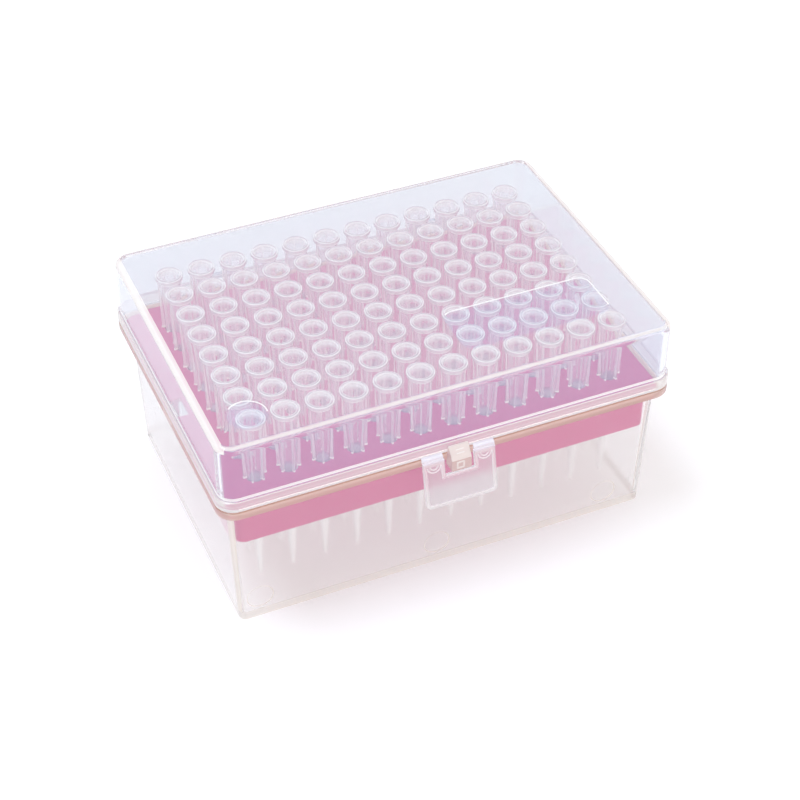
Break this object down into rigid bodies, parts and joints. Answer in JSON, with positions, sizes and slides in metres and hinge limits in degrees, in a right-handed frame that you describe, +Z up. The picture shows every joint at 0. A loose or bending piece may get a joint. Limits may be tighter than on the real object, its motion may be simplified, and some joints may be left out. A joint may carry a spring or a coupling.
{
  "type": "box of pipette tips",
  "caption": "Hinged clear-lidded plastic rack box of ribbed pipette tips standing in a coloured tray, with a front latch flap.",
  "frame": {"origin": "middle of the underside of the closed box, hinge and latch included", "axes": "+X along the long side, +Y from the latch to the hinge, +Z up"},
  "size_m": [0.125, 0.097, 0.0622],
  "materials": {
    "base_polypropylene": "satin",
    "tray_magenta": "satin",
    "tip_polypropylene": "gloss",
    "lid_clear": "gloss"
  },
  "bodies": {
    "base_body": {"base": "base_polypropylene", "tray": "tray_magenta", "tips_column_01": "tip_polypropylene", "tips_column_02": "tip_polypropylene", "tips_column_03": "tip_polypropylene", "tips_column_04": "tip_polypropylene", "tips_column_05": "tip_polypropylene", "tips_column_06": "tip_polypropylene", "tips_column_07": "tip_polypropylene", "tips_column_08": "tip_polypropylene", "tips_column_09": "tip_polypropylene", "tips_column_10": "tip_polypropylene", "tips_column_11": "tip_polypropylene", "tips_column_12": "tip_polypropylene"},
    "lid_body": {"lid": "lid_clear"},
    "flap_body": {"latch_flap": "lid_clear"}
  },
  "joints": [
    {"name": "lid_hinge", "type": "hinge", "parent": "base_body", "child": "lid_body", "pos_m": [0, 0.0465, 0.0427], "axis": [-1, 0, 0], "range_deg": [0, 105]},
    {"name": "latch_hinge", "type": "hinge", "parent": "lid_body", "child": "flap_body", "pos_m": [0, -0.04515, 0.0415], "axis": [-1, 0, 0], "range_deg": [0, 90]}
  ]
}
